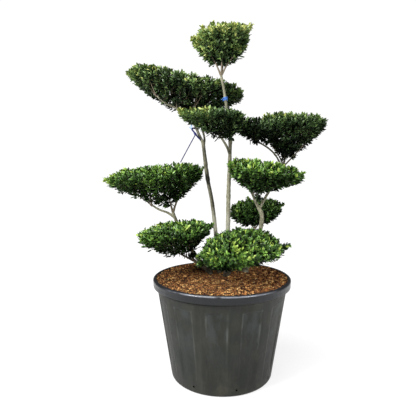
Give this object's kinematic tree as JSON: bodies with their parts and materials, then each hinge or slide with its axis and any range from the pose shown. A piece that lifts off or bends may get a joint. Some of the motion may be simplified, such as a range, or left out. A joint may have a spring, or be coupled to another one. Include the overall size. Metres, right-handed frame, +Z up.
{
  "type": "potted cloud-pruned japanese holly",
  "caption": "Evergreen shrub clipped into flat pads of small leaves on bare stems, growing in a ribbed black nursery pot filled with bark mulch.",
  "frame": {"origin": "middle of the pot's flat underside", "axes": "+Z up the stems; the plant's front faces -Y, with +X to the right of a person who looks at its front"},
  "size_m": [1.0258, 0.6216, 1.5703],
  "materials": {
    "pot_plastic": "satin black, shinier on the lip",
    "bark_mulch": "rough composted bark",
    "bark": "matt grey-brown bark",
    "foliage_dark": "semi-gloss dark green leaves",
    "foliage_fresh": "semi-gloss fresh green leaves",
    "twine": "blue nursery twine"
  },
  "bodies": {
    "root": {"pot": "pot_plastic", "soil": "bark_mulch", "trunk_left": "bark", "trunk_right": "bark", "trunk_side": "bark", "stem_mid_left": "bark", "stem_low_left": "bark", "stem_low_front": "bark", "stem_low_back": "bark", "bough_upper_left": "bark", "bough_upper_left_inner": "bark", "bough_upper_mid": "bark", "bough_upper_right": "bark", "bough_upper_arm": "bark", "bough_mid_right": "bark", "bough_mid_left": "bark", "mass_top": "foliage_dark", "mass_upper_left": "foliage_dark", "mass_upper_mid": "foliage_dark", "mass_upper_arm": "foliage_dark", "mass_upper_right": "foliage_dark", "mass_mid_right": "foliage_dark", "mass_mid_left": "foliage_dark", "mass_low_left": "foliage_dark", "mass_low_back": "foliage_dark", "mass_low_front": "foliage_fresh", "tie_band_left": "twine", "tie_band_right": "twine", "tie_line": "twine"}
  },
  "joints": []
}
